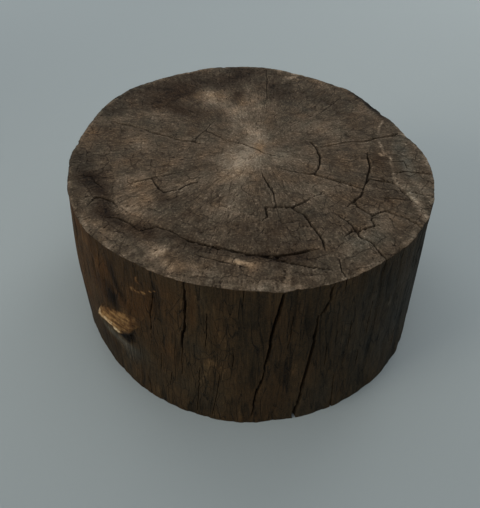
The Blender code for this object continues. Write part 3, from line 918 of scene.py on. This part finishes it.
def wall_wood(brown, gold):
    """Barkless trunk wood: the bark has gone, and years of rain have left dark, stringy fibres that
    run up the wall, grey where it is damp and brown where it has flaked. The torn stub and the chips
    show raw wood, which is paler and yellower. Painted light lies on it too: a cool sky reflection on
    the right side and under the stub's lip, warm light on the left side, a highlight along the stub's
    lip and along the edges of the checks, and shade in the checks and the stub's hollow."""
    material, node = new_material("weathered_fibrous_wall")
    coordinates = node("TexCoord", output="Object")
    pale = node("Attribute", output="Fac", attribute_name="pale")
    torn = node("Attribute", output="Fac", attribute_name="torn")
    stringy, drawn_out, short = (
        node("VectorMath", {0: coordinates, 1: (1, 1, upright)}, operation="MULTIPLY")
        for upright in (0.06, 0.07, 0.4)
    )
    along_stub = node(
        "Mapping",
        {"Vector": coordinates, "Rotation": (0, 0, math.radians(STUB_BEARING + 90)), "Scale": (7, 1, 1)},
        vector_type="TEXTURE",
    )
    # Fibres are 1 to 2 mm wide, and strands of them 5 mm or so
    fibres, strands, flakes, speckle, patches, crossing, splinters = (
        node("TexNoise", {"Vector": place, "Scale": 1 / size, "Detail": detail, "Roughness": rough})
        for place, size, detail, rough in (
            (stringy, 2.2 * MM, 3, 0.6),
            (stringy, 7 * MM, 2, 0.5),
            (short, 5 * MM, 3, 0.65),
            (coordinates, 2.2 * MM, 2, 0.7),
            (short, 26 * MM, 3, 0.55),
            (drawn_out, 11 * MM, 1, 0.5),
            (along_stub, 2.6 * MM, 2, 0.6),
        )
    )
    # Fissures are where a drawn-out noise crosses its middle value, in places
    from_middle = node("Math", {0: sum_of(node, crossing, -0.5)}, operation="ABSOLUTE")
    fissures = where(node, (from_middle, 0.022, 0.004), (flakes, 0.42, 0.55))
    edge = node("TexVoronoi", {"Vector": short, "Scale": 1 / (9 * MM)}, feature="DISTANCE_TO_EDGE")
    breaks = where(node, (edge, 0.06, 0.0), (patches, 0.45, 0.6))
    tone = sum_of(
        node, (pale, 0.26), (fibres, 0.45), (strands, 0.22), (flakes, 0.45), (speckle, 0.4), (patches, 0.35),
        (fissures, -0.25), (breaks, -0.12), -0.47
    )
    stops = ((0.0, WALL_BLACK), (0.3, WALL_DARK), (0.62, brown), (1.0, WALL_PALE))
    colour = hued(node, node("ValToRGB", {"Fac": tone}, stops=stops), short, 30 * MM)
    tone = sum_of(node, (torn, 0.9), (splinters, 1.1), (flakes, 0.7), -0.87)
    stops = ((0.0, RAW_DARK), (0.35, RAW_BROWN), (0.7, gold), (1.0, RAW_PALE))
    raw = node("ValToRGB", {"Fac": tone}, stops=stops)
    colour = node("Mix", {0: where(node, (torn, 0.1, 0.45)), 6: colour, 7: raw}, 2, data_type="RGBA")
    # Painted shade makes the insides of the checks and the stub's hollow darker
    colour = with_painted_shade(node, colour, 0.75)
    relief = sum_of(
        node, (fibres, 0.6), (strands, 0.4), (flakes, 0.55), (speckle, 0.3), (fissures, -0.5), (breaks, -0.3)
    )
    finish_wood(node, colour, relief, 2.6, sum_of(node, (fibres, 0.2), 0.68))
    return material


class StumpSizes(bpy.types.PropertyGroup):
    """Sizes of the stump that a user would change."""

    top_cells: bpy.props.IntProperty(
        name="Top cells", description="Cells across the sawn top", default=200, min=20
    )
    wall_rows: bpy.props.IntProperty(
        name="Wall rows", description="Rows of faces down the wall", default=64, min=8
    )
    reach: bpy.props.FloatProperty(
        name="Check reach", description="How far off points are drawn to a check", default=7.5 * MM,
        precision=4, unit="LENGTH",
    )
    relief: bpy.props.FloatProperty(
        name="Wall relief", description="Height of the wall's flutes and flakes, as a factor", default=1.0,
        min=0, soft_max=2, subtype="FACTOR",
    )


class StumpColours(bpy.types.PropertyGroup):
    """The middle colour of each kind of wood."""

    end_grain: bpy.props.FloatVectorProperty(
        name="End grain", description="Colour of the sawn top", subtype="COLOR", default=linear(TOP_GREY)
    )
    wall: bpy.props.FloatVectorProperty(
        name="Wall", description="Colour of the weathered wall", subtype="COLOR", default=linear(WALL_BROWN)
    )
    raw: bpy.props.FloatVectorProperty(
        name="Raw wood", description="Colour of torn wood", subtype="COLOR", default=linear(RAW_GOLD)
    )


class StumpStudio(bpy.types.PropertyGroup):
    """The stage: its floor, its light and where it is seen from."""

    floor_colour: bpy.props.FloatVectorProperty(
        name="Floor", description="Colour of the floor", subtype="COLOR", default=linear(FLOOR_GREY)
    )
    sky_strength: bpy.props.FloatProperty(
        name="Sky", description="Strength of the light from all around", default=0.31, min=0
    )
    light: bpy.props.FloatProperty(
        name="Lights", description="Power of the lamps, as a factor", default=1.0,
        min=0, soft_max=2, subtype="FACTOR",
    )
    camera_height: bpy.props.FloatProperty(
        name="Camera height", description="Height of the camera over the top", default=0.4616, unit="LENGTH"
    )


class STUMP_OT_build_wood(bpy.types.Operator):
    """Builds the stump as one closed piece of wood"""

    bl_idname = "stump.build_wood"
    bl_label = "Build the stump"

    def execute(self, context):
        sizes = context.scene.stump_sizes
        colours = context.scene.stump_colours
        points, groups, wall_count, shades, maps = stump_shape(sizes)
        mesh = new_mesh("stump_wood", points, groups)
        if len(mesh.polygons) != sum(len(group) for group in groups):
            raise RuntimeError("The stump's surface lost faces")
        add_shades(mesh, shades)
        add_map(mesh, maps)
        mesh.materials.append(end_grain(colours.end_grain))
        mesh.materials.append(wall_wood(colours.wall, colours.raw))
        slots = np.zeros(len(mesh.polygons), int)
        slots[len(groups[0]) : len(groups[0]) + wall_count] = 1
        mesh.polygons.foreach_set("material_index", slots)
        mesh.shade_smooth()
        mesh.set_sharp_from_angle(angle=math.radians(55))
        stump = bpy.data.objects.new("stump_wood", mesh)
        context.scene.collection.objects.link(stump)
        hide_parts("tree_stump")
        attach(stump, "root")
        return {"FINISHED"}


class STUMP_OT_set_stage(bpy.types.Operator):
    """Lays the pale floor, hangs the soft lights and places the camera"""

    bl_idname = "stump.set_stage"
    bl_label = "Set the stage"

    def execute(self, context):
        studio = context.scene.stump_studio
        scene = context.scene
        bpy.ops.mesh.primitive_plane_add(size=FLOOR_SIDE)
        floor = context.object
        floor.name = "floor"
        material, node = new_material("matt_floor_paint")
        paint = node("BsdfPrincipled", {"Base Color": (*studio.floor_colour, 1), "Roughness": 0.9})
        node("OutputMaterial", {"Surface": paint})
        floor.data.materials.append(material)

        world = bpy.data.worlds.new("studio")
        world.use_nodes = True
        background = world.node_tree.nodes["Background"]
        background.inputs["Color"].default_value = SKY_COLOUR
        background.inputs["Strength"].default_value = studio.sky_strength
        scene.world = world

        for name, size, spread, power, colour, place, target in STUDIO_LIGHTS:
            light = bpy.data.lights.new(name, "AREA")
            light.size = size
            light.spread = math.radians(spread)
            light.energy = power * studio.light
            light.color = colour
            lamp = bpy.data.objects.new(name, light)
            lamp.location = place
            lamp.rotation_euler = (Vector(target) - lamp.location).to_track_quat("-Z", "Y").to_euler()
            scene.collection.objects.link(lamp)

        camera = bpy.data.objects.new("camera", bpy.data.cameras.new("camera"))
        camera.data.angle = math.radians(CAMERA_ANGLE)
        camera.data.clip_start = 0.01
        camera.location = (*CAMERA_PLACE, HEIGHT + studio.camera_height)
        camera.rotation_euler = (math.radians(90 - CAMERA_DIP), 0, 0)
        scene.collection.objects.link(camera)
        scene.camera = camera
        scene.view_settings.view_transform = "Standard"
        return {"FINISHED"}


class STUMP_PT_panel(bpy.types.Panel):
    """Lists the stump's settings and its two steps"""

    bl_idname = "STUMP_PT_panel"
    bl_label = "Tree stump"
    bl_space_type = "VIEW_3D"
    bl_region_type = "UI"
    bl_category = "Stump"

    def draw(self, context):
        scene = context.scene
        for group in (scene.stump_sizes, scene.stump_colours, scene.stump_studio):
            for name in group.__annotations__:
                self.layout.prop(group, name)
        for operator in (STUMP_OT_build_wood, STUMP_OT_set_stage):
            self.layout.operator(operator.bl_idname)


CLASSES = (
    StumpSizes, StumpColours, StumpStudio, STUMP_OT_build_wood, STUMP_OT_set_stage, STUMP_PT_panel
)


def register():
    for cls in CLASSES:
        bpy.utils.register_class(cls)
    bpy.types.Scene.stump_sizes = bpy.props.PointerProperty(type=StumpSizes)
    bpy.types.Scene.stump_colours = bpy.props.PointerProperty(type=StumpColours)
    bpy.types.Scene.stump_studio = bpy.props.PointerProperty(type=StumpStudio)


def unregister():
    del bpy.types.Scene.stump_studio
    del bpy.types.Scene.stump_colours
    del bpy.types.Scene.stump_sizes
    for cls in reversed(CLASSES):
        bpy.utils.unregister_class(cls)


def main():
    """Builds everything."""
    register()
    bpy.ops.stump.build_wood()
    bpy.ops.stump.set_stage()


if __name__ == "__main__":
    main()
